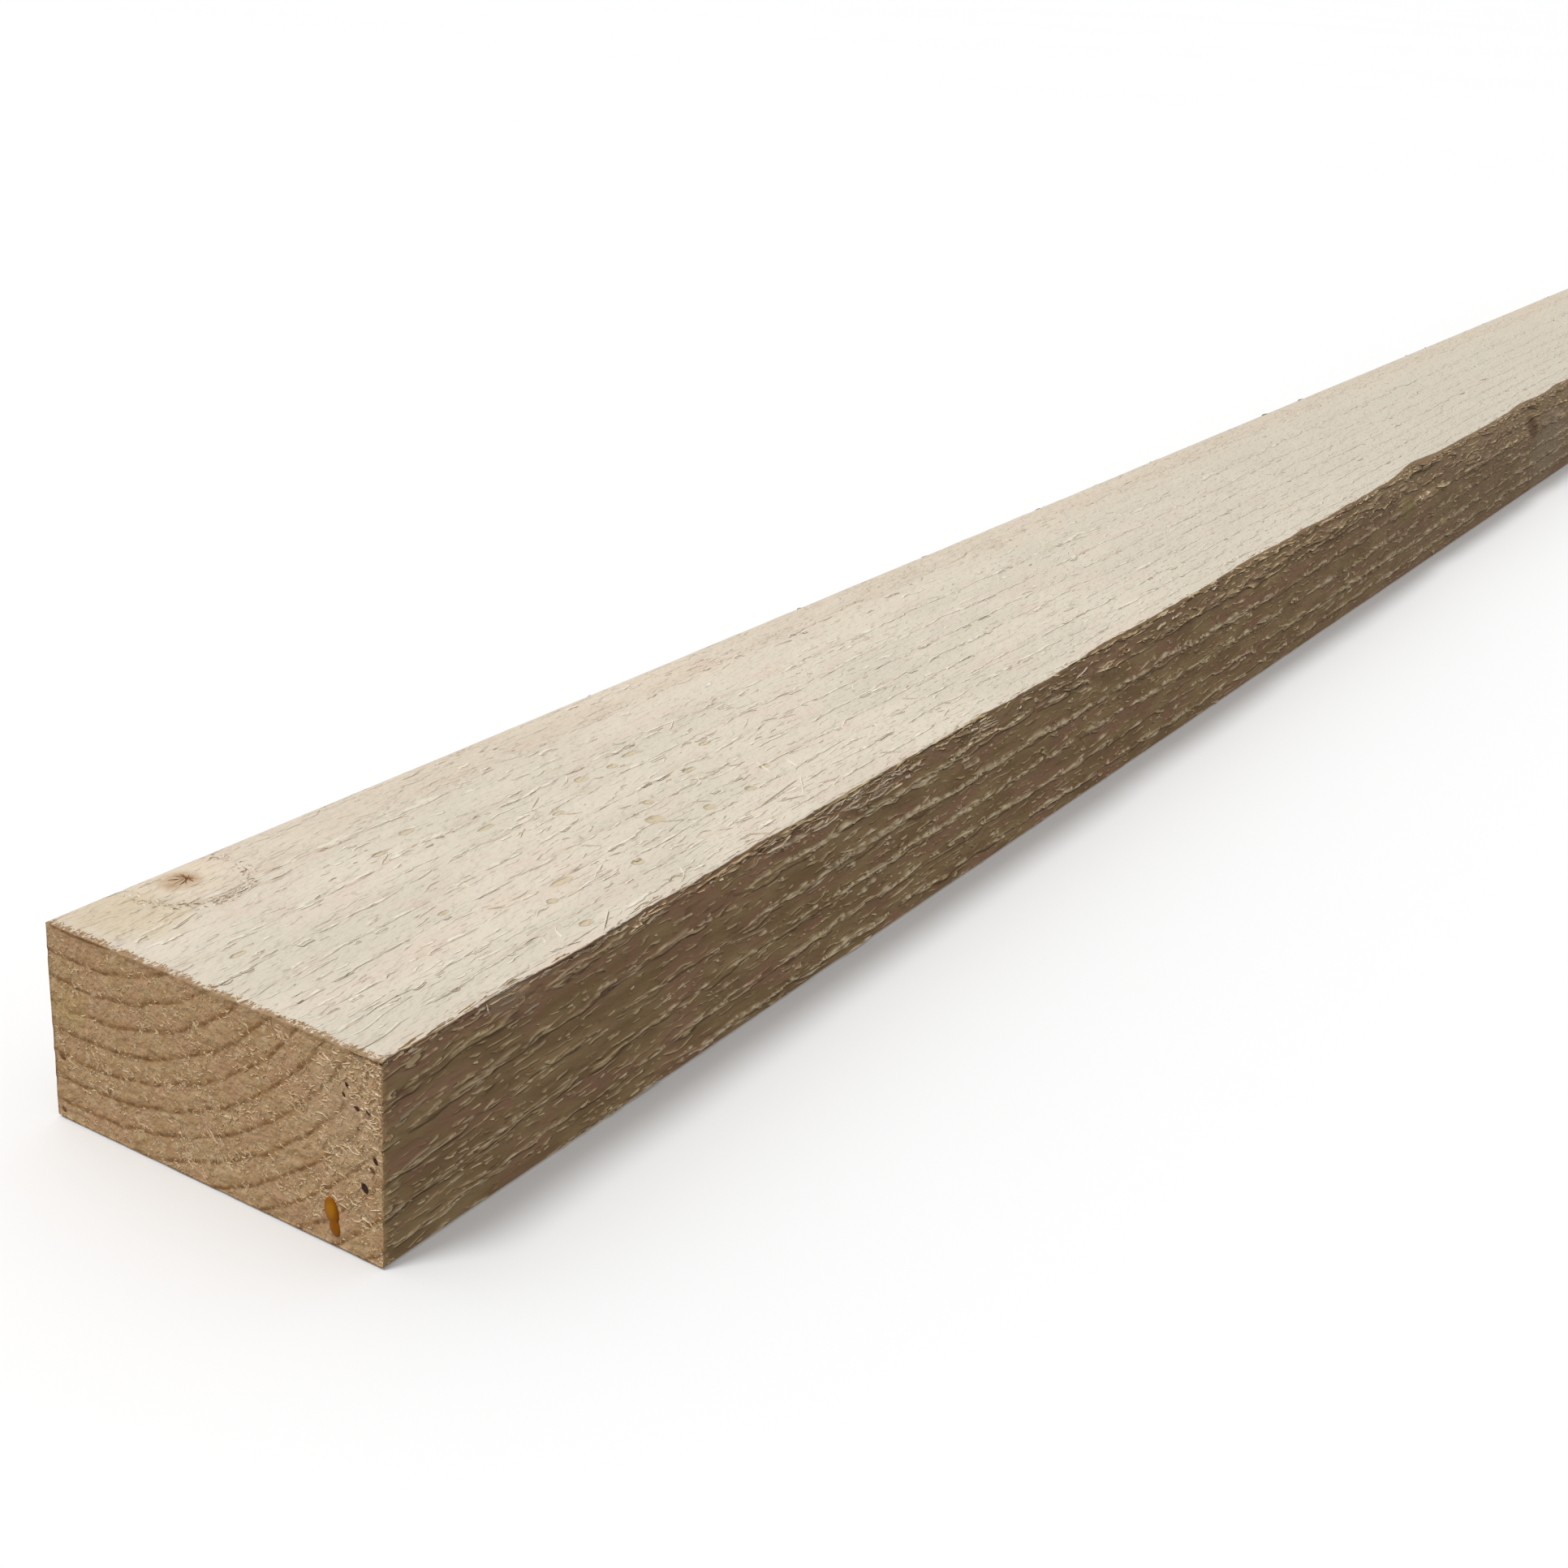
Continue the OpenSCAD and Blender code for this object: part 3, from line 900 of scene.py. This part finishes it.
class Paint(Nodes):
    """A material's nodes and the colour painted so far. Places in it are millimetres in the part's frame."""

    def __init__(self, name, roughness, sheen=0.25):
        self.material = bpy.data.materials.new(name)
        self.material.use_nodes = True
        super().__init__(self.material.node_tree)
        self.shader = self.nodes["Principled BSDF"]
        self.shader.inputs["Roughness"].default_value = roughness
        self.shader.inputs["Specular IOR Level"].default_value = sheen
        place = self.node("ShaderNodeTexCoord", {}).outputs["Object"]
        self.place = self.vector("MULTIPLY", place, (1 / MM, 1 / MM, 1 / MM))
        split = self.node("ShaderNodeSeparateXYZ", {0: self.place})
        self.s = self.less(split.outputs["X"], NEAR)
        self.y, self.z = split.outputs["Y"], split.outputs["Z"]

    def vector(self, operation, first, second):
        return self.node("ShaderNodeVectorMath", {0: first, 1: second}, operation=operation).outputs[0]

    def mix(self, factor, first, second):
        return self.node("ShaderNodeMix", {0: factor, 6: first, 7: second}, data_type="RGBA").outputs[2]

    def base(self, factor, first, second):
        """Starts with two tints, mixed by a factor."""
        self.shade = self.mix(factor, colour(*first), colour(*second))

    def paint(self, tint, *factors):
        """Lays a tint over the colour so far, as much as the product of some factors says."""
        self.shade = self.mix(self.product(*factors), self.shade, colour(*tint))

    def noise(self, pitch, detail=2.0):
        """Noise from 0 to 1 with a pitch in millimetres along, across and up."""
        stretched = self.vector("DIVIDE", self.place, pitch)
        inputs = {"Vector": stretched, "Scale": 1.0, "Detail": detail}
        return self.node("ShaderNodeTexNoise", inputs).outputs[0]

    def patch(self, pitch, start, stop, detail=2.0):
        """Soft patches: 0 where noise of a pitch is below start, and 1 where it is above stop."""
        return self.ease(self.noise(pitch, detail), start, stop)

    def stray(self, pitch, size):
        """Noise of a pitch, as much above 0 as below, with a size."""
        return self.product(self.less(self.noise(pitch), 0.5), size)

    def value(self, name):
        """A value that the mesh gives to each of its points."""
        return self.node("ShaderNodeAttribute", {}, attribute_name=name).outputs["Fac"]

    def near(self, centre, half, soft=0.0):
        """1 at a centre, 0 from the half sizes on, along, across and up. Soft is where it starts to fall."""
        total = 0.0
        for value, middle, size in zip((self.s, self.y, self.z), centre, half):
            part = self.math("DIVIDE", self.less(value, middle), size)
            total = self.add(self.product(part, part), total)
        return self.fall(total, soft, 1.0)

    def spots(self, places, half_up):
        """1 inside any of some ovals on the top face, given by places along and across, length, breadth."""
        total = 0.0
        for s, u, length, breadth in places:
            half = (0.6 * length, 0.7 * breadth, half_up)
            total = self.add(self.near((s, BACK - u, TOP), half, 0.3), total)
        return self.math("MINIMUM", total, 1.0)

    def rings(self, wobble):
        """How many growth rings lie inside a place, with the sway and a fine wobble in millimetres."""
        fade = self.math("EXPONENT", self.math("DIVIDE", self.s, -PITH_RUN))
        drift = self.product(self.less(1.0, fade), PITH_DRIFT)
        sway = self.product(self.math("SINE", self.math("DIVIDE", self.s, PITH_WAVE)), PITH_SWAY)
        side = self.less(self.y, self.add(self.add(drift, sway), PITH_Y))
        rise = self.less(self.z, PITH_Z)
        square = self.add(self.product(side, side), self.product(rise, rise))
        out = self.less(self.math("SQRT", square), RING_RADIUS)
        for pitch, share in (((30, 7, 7), 1.0), ((9, 1.5, 1.5), 0.4)):
            out = self.add(out, self.stray(pitch, share * wobble))
        count = self.add(self.product(out, out, RING_TIGHTEN), self.product(out, RING_RATE))
        return self.add(count, RING_FIRST)

    def rim(self):
        """1 at both sawn ends, and 0 from a ragged line about a millimetre away from them."""
        to_end = self.math("MINIMUM", self.s, self.less(LENGTH, self.s))
        stray = self.product(self.less(0.5, self.noise((3, 0.9, 0.9), 3.0)), 7.0)
        return self.fall(self.add(to_end, stray), 0.9, 2.0)

    def rows(self, count, times, stray, pitch, torn, calm):
        """Torn ledges along the rings, some to each: how high the wood stands, where crests and hollows lie.

        The rows stray by some rings with noise of a pitch, and are torn where a second noise isn't calm."""
        top, drop, foot, thin = 0.71, 0.72, 0.76, 0.08 * times
        part = self.add(self.product(count, times), self.stray(pitch, stray))
        part = self.math("FRACT", self.add(part, 0.75))
        torn = self.patch(torn, calm, calm + 0.12)
        height = self.band(part, (0.1, drop), (0.74, 0.82))
        crest = self.band(part, (top - thin, top), (drop, foot))
        # The band under each crest is where the riser's shadow gets painted
        riser_shadow = self.band(part, (drop, foot), (foot, foot + thin))
        return (self.product(value, torn) for value in (height, crest, riser_shadow))

    def ledges(self, count, kinds, crest_tint, shadow_tint, crest_share, shadow_share):
        """Paints some kinds of torn ledges along the rings, and gives the height that they add."""
        height = 0.0
        bright = self.product(self.patch((6, 2, 2), 0.35, 0.6), crest_share)
        for *row, depth in kinds:
            step, crest, riser_shadow = self.rows(count, *row)
            # Crests partly pale torn fibre and partly painted highlight; hollows painted shadow
            self.paint(crest_tint, crest, bright)
            self.paint(shadow_tint, riser_shadow, shadow_share)
            height = self.add(self.product(step, depth), height)
        return height

    def lips(self, crest_tint, foot_shadow_tint, share=1.0):
        """Paints ledges of the same wood, pale at the crest and dark at the foot, by their points' tone."""
        tone = self.value("tone")
        # Pale crests, partly painted highlight, and dark feet of painted shadow
        self.paint(crest_tint, self.ease(tone, 0.0, 1.0), share)
        self.paint(foot_shadow_tint, self.ease(tone, 0.0, -1.0))

    def wane(self):
        """1 on the wane, and 0 below it and on the back edge."""
        left = self.less(1.0, self.math("DIVIDE", self.s, LENGTH))
        depth = self.product(self.less(1.0, self.product(left, left)), float(WANE_DEPTH[1][-1]))
        above = self.add(self.less(self.z, TOP), depth)
        return self.product(self.ease(above, -1.5, 1.0), self.fall(self.y, 0.0, 10.0))

    def finish(self, height, distance):
        """Gives the shader its colour, and a bump: a height of 1 stands for the distance in millimetres."""
        self.links.new(self.shade, self.shader.inputs["Base Color"])
        bump = self.node("ShaderNodeBump", {"Height": height, "Distance": distance * MM, "Strength": 1.0})
        self.links.new(bump.outputs[0], self.shader.inputs["Normal"])
        return self.material


# Torn ledges painted along the rings of the wide faces and of the narrow edges, with partly painted highlight
# on their crests and painted shadow in their hollows: rows to a ring, how far they stray in rings, pitches of
# the noise that they stray and are torn with, its calm part, and their height
WIDE_ROWS = [
    (1.0, 0.35, (16, 5, 5), (10, 3, 3), 0.44, 0.35),
    (3.0, 1.4, (14, 5, 5), (6, 2.2, 2.2), 0.52, 0.3),
]
EDGE_ROWS = [
    (1.0, 0.5, (14, 4, 4), (12, 5, 5), 0.38, 0.5),
    (3.3, 2.2, (14, 4, 4), (6, 2.0, 2.0), 0.48, 0.3),
]
# Half size, square to its face, of a mark that belongs to one face and mustn't show on another
SHALLOW = 9


def wide_material():
    """Pale fresh-sawn wood of the wide faces, greyer far off, peach at the back, stained at the knot."""
    wood = Paint("sawn_face", 0.85)
    count = wood.rings(3.0)
    phase = wood.math("FRACT", count)
    wood.base(wood.patch((50, 14, 14), 0.35, 0.65), (220, 209, 191), (212, 202, 184))
    pink = wood.patch((26, 9, 9), 0.5, 0.7)
    wood.paint((218, 199, 182), pink, 0.5)
    grey = wood.ease(wood.s, 250, 800)
    wood.paint((206, 198, 181), grey, 0.7)
    late = wood.ease(phase, 0.75, 0.95)
    wood.paint((196, 176, 150), late, wood.patch((25, 5, 5), 0.4, 0.65), 0.3)
    peach = wood.ease(wood.y, BACK - 26, BACK - 10)
    wood.paint((220, 200, 178), peach, wood.noise((70, 9, 9)), 0.5)
    rough = wood.product(wood.fall(wood.y, BACK - 22, BACK - 12), wood.ease(wood.s, *BLUR_RUN, 1.0, 0.4))
    # Crests of the ledges partly painted highlight; their hollows and feet painted shadow
    height = wood.ledges(count, WIDE_ROWS, (236, 228, 211), (182, 159, 131), rough, wood.product(rough, 0.35))
    wood.lips((242, 235, 220), (176, 152, 124))

    knot_y = BACK - KNOT_U
    yellow = wood.near((15, BACK - 10, TOP), (16, 20, SHALLOW))
    wood.paint((204, 182, 138), yellow, wood.noise((6, 3, 3), 3.0), 0.7)
    pale = wood.near((KNOT_S, knot_y, TOP), (14, 13, SHALLOW))
    wood.paint((224, 208, 184), pale, 0.7)
    stain = wood.near((KNOT_S - 1.5, knot_y, TOP), (7, 6, SHALLOW))
    wood.paint((172, 136, 96), stain, wood.noise((3, 3, 3), 3.0), 1.5)
    pits = wood.spots(PITS, SHALLOW)
    wood.paint((204, 184, 142), pits, 0.55)
    wood.paint((160, 131, 97), wood.rim(), 0.95)
    height = wood.add(wood.noise((4, 1.8, 1.8)), height)
    return wood.finish(wood.less(height, wood.product(pits, 0.5)), 1.0)


def edge_material():
    """Weathered olive-brown wood of the narrow edges and the wane, with reddish patches and painted shadow in
    hollows.
    """
    wood = Paint("weathered_edge", 0.9)
    count = wood.rings(2.0)
    wood.base(wood.patch((30, 7, 7), 0.35, 0.65, 3.0), (153, 124, 88), (178, 149, 109))
    high_up = wood.product(wood.ease(wood.z, TOP - 12, TOP - 2, 0.0, 0.2), wood.fall(wood.s, 60, 260))
    red = wood.ease(wood.add(wood.noise((26, 8, 8)), high_up), 0.47, 0.62)
    wood.paint((172, 130, 105), red, 0.6)
    # The wane is painted darker: partly its brown wood, partly painted shade against the light it catches
    # facing up
    on_wane = wood.wane()
    wood.paint((108, 89, 66), on_wane, 0.6)
    wood.paint((153, 131, 107), wood.ease(wood.s, 400, 900, 0.0, 0.4))
    wood.paint((184, 165, 140), wood.near(EDGE_GREY, (50, 12, 24)), 0.6)
    # Crests partly painted highlight and hollows and feet painted shadow; less painted highlight on the wane
    height = wood.ledges(count, EDGE_ROWS, (228, 202, 156), (98, 74, 52), 1.0, 0.5)
    wood.lips((252, 232, 194), (58, 43, 30), wood.ease(on_wane, 0.0, 1.0, 1.0, 0.2))
    wood.paint((182, 160, 130), wood.near(EDGE_CHIP, (9, 5, 3), 0.4), 0.45)
    for knot_s, knot_u, half_s, half_u, tint in EDGE_KNOTS:
        knot = wood.near((knot_s, FRONT, TOP - knot_u), (half_s, 12, half_u))
        wood.paint(tint, knot, wood.noise((4, 4, 4), 3.0), 1.8)
    wood.paint((196, 160, 116), wood.rim(), 0.8)
    lumps = wood.product(wood.noise((5, 2, 2), 3.0), 0.6)
    return wood.finish(wood.add(lumps, height), 1.0)


def end_material():
    """Tan end grain: brown arcs of latewood, pink and yellow patches, and the felt of cut fibres."""
    wood = Paint("end_grain", 0.92)
    phase = wood.math("FRACT", wood.rings(2.0))
    wood.base(wood.patch((2.4, 2.4, 2.4), 0.35, 0.68), (192, 155, 111), (210, 176, 133))
    pink = wood.patch((10, 10, 10), 0.45, 0.65)
    wood.paint((204, 160, 124), pink, 0.6)
    soft = wood.ease(phase, 0.4, 0.95)
    wood.paint((168, 129, 84), soft, 0.35)
    line = wood.band(phase, (0.74, 0.9), (0.94, 1.0))
    wood.paint((142, 100, 58), line, wood.ease(wood.noise((6, 3, 3), 3.0), 0.38, 0.6, 0.35, 0.9))
    fluff = wood.near((0, FRONT + 7, TOP - 14), (SHALLOW, 20, 22))
    wood.paint((224, 200, 168), fluff, wood.noise((2, 2, 2), 3.0), 0.4)
    yellow = wood.near((0, BACK - 6, TOP - 21), (SHALLOW, 9, 7))
    wood.paint((200, 172, 112), yellow, wood.noise((3, 3, 3)), 0.7)
    # Dark flecks of painted shade, standing for the crevices between the cut fibres
    crevice_shade = wood.patch((1.2, 1.2, 1.2), 0.56, 0.7)
    wood.paint((146, 110, 72), crevice_shade, 0.3)
    glint = wood.patch((2.2, 2.2, 2.2), 0.42, 0.3)
    wood.paint((234, 208, 170), glint, 0.4)
    return wood.finish(wood.noise((1.8, 1.8, 1.8), 3.0), 0.8)


# Colours of single fibres, from dark tones, which also paint lines of painted shadow and the pits' painted
# shade, to pale lips: the tone at which each is reached, and the colour
FIBRES = {
    "pale_fibre": [
        (0.0, (140, 114, 86)), (0.3, (184, 163, 135)), (0.6, (212, 200, 182)), (1.0, (243, 236, 220)),
    ],
    "weathered_fibre_and_shadow": [
        (0.0, (78, 57, 39)), (0.4, (168, 142, 104)), (0.75, (202, 178, 138)), (1.0, (228, 210, 174)),
    ],
    "end_fibre": [
        (0.0, (110, 78, 52)), (0.4, (194, 160, 118)), (0.75, (222, 196, 156)), (1.0, (246, 232, 206)),
    ],
    "painted_pit_shade": [(0.0, (46, 27, 25)), (1.0, (134, 90, 58))],
    "knot_fibre": [(0.0, (104, 66, 42)), (0.4, (138, 96, 66)), (1.0, (172, 132, 98))],
}


def fibre_material(name):
    """Torn fibres, coloured by the tone that each sliver has, with fine streaks along them."""
    stops = FIBRES[name]
    wood = Paint(name, 0.85)
    tone = wood.value("tone")
    wood.shade = colour(*stops[0][1])
    for (start, _), (stop, tint) in zip(stops, stops[1:]):
        wood.paint(tint, wood.ease(tone, start, stop))
    streak = wood.patch((6, 0.5, 0.5), 0.3, 0.7)
    wood.paint(stops[1][1], streak, 0.25)
    return wood.finish(streak, 0.1)


def resin_material():
    """Golden resin, bright in the middle of its upper drop and darker towards its rim and foot."""
    resin = Paint("resin", 0.25, sheen=0.06)
    # Painted light: the upper drop's middle is brighter and its rim darker
    glow = resin.near((0, BACK - RESIN_TOP[0] - 0.6, TOP - RESIN_TOP[1] - 2.6), (SHALLOW, 1.7, 2.6))
    resin.base(glow, (158, 93, 10), (186, 124, 16))
    return resin.finish(resin.noise((1.5, 1.5, 1.5)), 0.1)


def floor_and_light():
    """A pale floor that throws no light back up, a sky brightest overhead and behind, and one soft sun."""
    size = 40.0
    mesh = bpy.data.meshes.new("floor")
    corners = [(-size, -size, 0), (size, -size, 0), (size, size, 0), (-size, size, 0)]
    mesh.from_pydata(corners, [], [(0, 1, 2, 3)])
    floor = bpy.data.objects.new("floor", mesh)
    floor.visible_diffuse = False
    bpy.context.scene.collection.objects.link(floor)
    paper = Paint("floor_paper", 0.9)
    paper.base(paper.noise((900, 900, 900)), (246, 246, 246), (249, 249, 249))
    mesh.materials.append(paper.finish(paper.noise((40, 40, 40)), 0.02))

    world = bpy.data.worlds.new("studio")
    world.use_nodes = True
    sky = Nodes(world.node_tree)
    way = sky.node("ShaderNodeTexCoord", {}).outputs["Generated"]
    split = sky.node("ShaderNodeSeparateXYZ", {0: way})
    rise = sky.ramp(split.outputs["Z"], -0.1, 1.0, 0.28, 0.9)
    behind = sky.ramp(split.outputs["Y"], -1.0, 1.0, 0.65, 1.35)
    sky.links.new(sky.product(rise, behind), sky.nodes["Background"].inputs["Color"])
    bpy.context.scene.world = world

    light = bpy.data.lights.new("soft_sun", "SUN")
    light.energy = 1.35
    light.angle = radians(15)
    lamp = bpy.data.objects.new("soft_sun", light)
    lamp.rotation_euler = Vector((-0.42, 0.2, 0.88)).to_track_quat("Z", "Y").to_euler()
    bpy.context.scene.collection.objects.link(lamp)


def look():
    """The photograph's camera: its place and turn are fitted to the plank's edges in it."""
    data = bpy.data.cameras.new("camera")
    data.sensor_width = 36
    data.lens = 49.37
    data.clip_start, data.clip_end = 0.01, 100
    camera = bpy.data.objects.new("camera", data)
    camera.location = (-1.1805, -0.3063, 0.2660)
    camera.rotation_euler = (radians(67.907), radians(-3.685), radians(-57.553))
    bpy.context.scene.collection.objects.link(camera)
    bpy.context.scene.camera = camera
    bpy.context.scene.view_settings.view_transform = "Standard"


look()
floor_and_light()
face_wood, edge_wood = wide_material(), edge_material()
plank_mesh([face_wood, edge_wood, end_material()])

pale, brown, tan, pulled, red = (fibre_material(name) for name in FIBRES)
wide_fibres("top", count=1100, seed=101, wood=face_wood)
wide_fibres("bottom", count=500, seed=111, wood=face_wood)
edge_fibres("front", count=3400, seed=121, wood=edge_wood, fibre=brown)
edge_fibres("back", count=900, seed=131, wood=edge_wood, fibre=brown)
end_fibres("near_end", NEAR + INSET, -1, count=3400, seed=141, material=tan)
end_fibres("far_end", FAR - INSET, 1, count=2600, seed=151, material=tan)
near_fringe(tan)
top_marks(pale)
knot_star(red)
arris_fuzz(pale, brown)
end_pits(pulled)
resin_bead(resin_material())
